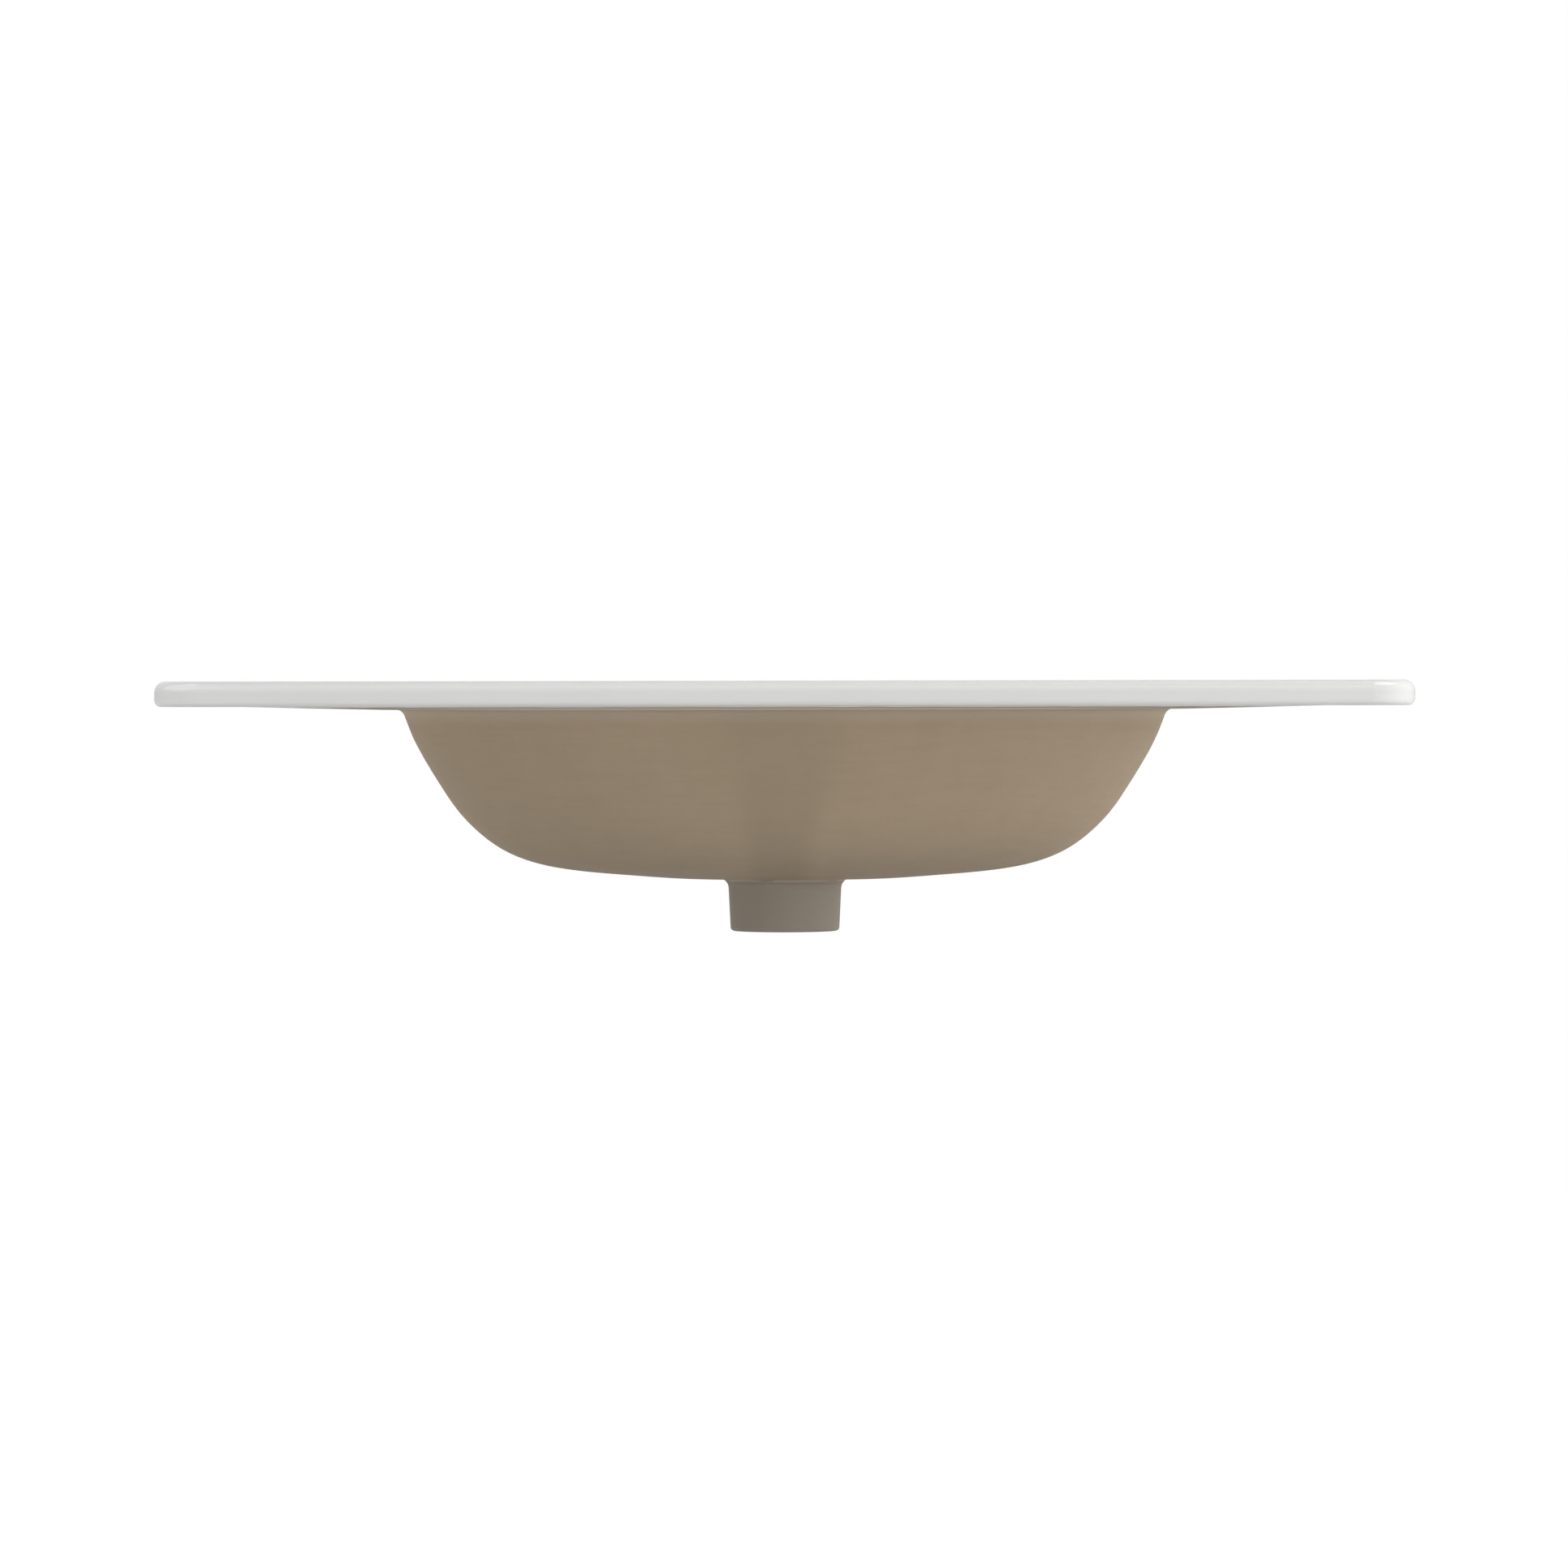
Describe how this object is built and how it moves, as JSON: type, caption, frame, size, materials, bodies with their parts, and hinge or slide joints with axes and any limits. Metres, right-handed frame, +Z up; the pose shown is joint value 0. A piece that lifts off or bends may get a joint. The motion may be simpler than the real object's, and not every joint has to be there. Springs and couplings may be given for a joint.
{
  "type": "bathroom sink",
  "caption": "Drop-in ceramic vanity-top basin with a thin white deck, a deep oval buff-backed bowl, tap hole, overflow and a push-to-open waste set inside its outlet boss.",
  "frame": {"origin": "middle of the deck's underside plane, where the deck rests on its counter", "axes": "+Z up out of the bowl, +X to the right of someone standing at the basin, -Y towards them"},
  "size_m": [0.792, 0.483, 0.1643],
  "materials": {
    "basin": "gloss white glaze above, unglazed buff body below",
    "overflow_ring": "polished plate",
    "flange_seal": "soft translucent white",
    "waste_body": "polished plate on brass",
    "lower_seal": "black rubber",
    "friction_washer": "natural nylon",
    "back_nut": "machined brass",
    "cartridge_screw": "bright steel",
    "cartridge_housing": "white acetal",
    "cartridge_collar": "machined brass",
    "plunger": "machined brass",
    "click_rotor": "dark acetal",
    "click_spring": "spring steel",
    "plug_cap": "polished plate",
    "plug_seal": "black rubber"
  },
  "bodies": {
    "sink": {"basin": "basin", "overflow_ring": "overflow_ring", "flange_seal": "flange_seal", "waste_body": "waste_body", "lower_seal": "lower_seal", "friction_washer": "friction_washer", "back_nut": "back_nut", "cartridge_screw": "cartridge_screw", "cartridge_housing": "cartridge_housing", "cartridge_collar": "cartridge_collar", "click_spring": "click_spring"},
    "plug": {"plunger": "plunger", "plug_cap": "plug_cap", "plug_seal": "plug_seal"},
    "rotor": {"click_rotor": "click_rotor"}
  },
  "joints": [
    {"name": "plug_slide", "type": "slide", "parent": "sink", "child": "plug", "axis": [0, 0, 1], "range_m": [0, 0.008], "deforming": ["click_spring"]},
    {"name": "rotor_turn", "type": "hinge", "parent": "plug", "child": "rotor", "pos_m": [0, -0.0165, -0.1205], "axis": [0, 0, 1], "range_deg": [0, 45]}
  ],
  "couplings": [
    {"joint": "rotor_turn", "follows": "plug_slide", "rad_per_m": 98.17}
  ]
}
